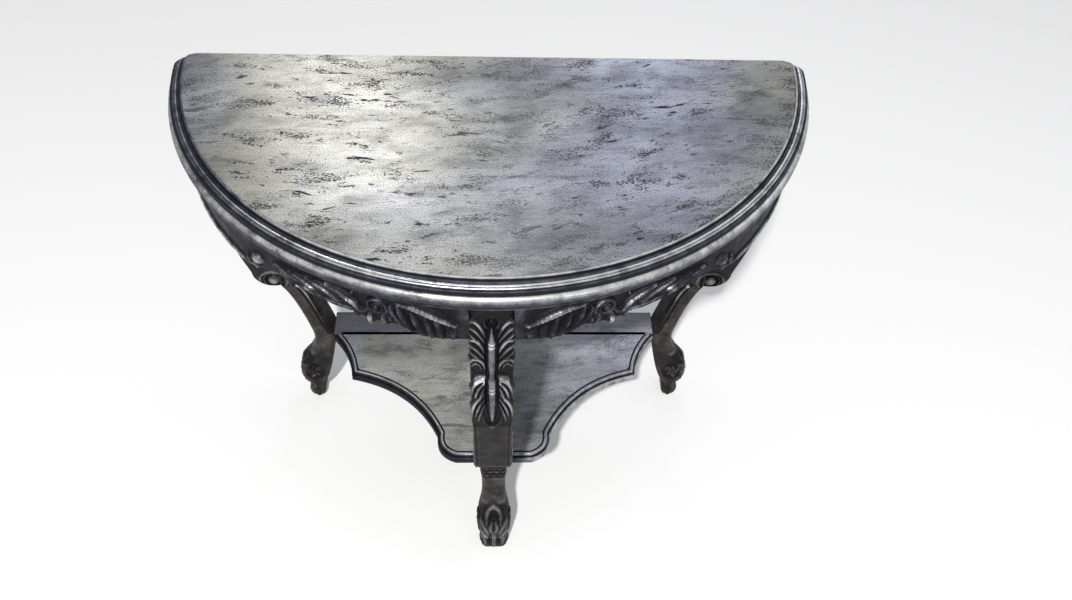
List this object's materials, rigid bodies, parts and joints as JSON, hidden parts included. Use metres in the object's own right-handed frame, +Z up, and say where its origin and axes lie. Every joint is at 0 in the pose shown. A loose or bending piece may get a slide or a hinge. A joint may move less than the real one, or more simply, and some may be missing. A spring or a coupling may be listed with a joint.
{
  "type": "half-round console table",
  "caption": "Half-round baroque console table with a moulded edge, carved scroll legs, a beaded apron with leaf sprays and a shaped lower shelf, in antiqued silver leaf",
  "frame": {"origin": "middle of the table's footprint on the floor", "axes": "+X to the right along the straight back edge, +Y to the wall behind, +Z up; the half round faces -Y"},
  "size_m": [0.986, 0.4929, 0.8],
  "materials": {
    "silver_leaf_top": "antiqued silver leaf over a dark ground, worn in streaks",
    "silver_leaf_carved": "dark silver leaf, rubbed bright on the crests of the carving",
    "inner_wood": "bare wood out of sight"
  },
  "bodies": {
    "root": {"top_board": "silver_leaf_top", "rim_front": "silver_leaf_carved", "rim_left": "silver_leaf_carved", "rim_right": "silver_leaf_carved", "rim_tongue_left": "inner_wood", "rim_tongue_right": "inner_wood", "apron_left": "silver_leaf_carved", "apron_right": "silver_leaf_carved", "spray_left": "silver_leaf_carved", "spray_right": "silver_leaf_carved", "back_rail": "inner_wood", "leg_front": "silver_leaf_carved", "leg_left": "silver_leaf_carved", "leg_right": "silver_leaf_carved", "shelf_board": "silver_leaf_top", "shelf_rear_board": "silver_leaf_top", "shelf_batten_left": "inner_wood", "shelf_batten_right": "inner_wood", "corner_block_front_left": "inner_wood", "corner_block_front_right": "inner_wood", "corner_block_rear_left": "inner_wood", "corner_block_rear_right": "inner_wood", "apron_tenon_front_left": "inner_wood", "apron_tenon_front_right": "inner_wood", "apron_tenon_side_left": "inner_wood", "apron_tenon_side_right": "inner_wood", "rail_tenon_left": "inner_wood", "rail_tenon_right": "inner_wood", "shelf_tenon_front": "inner_wood", "shelf_tenon_left": "inner_wood", "shelf_tenon_right": "inner_wood", "top_tenon_front": "inner_wood", "top_tenon_left": "inner_wood", "top_tenon_right": "inner_wood"}
  },
  "joints": []
}
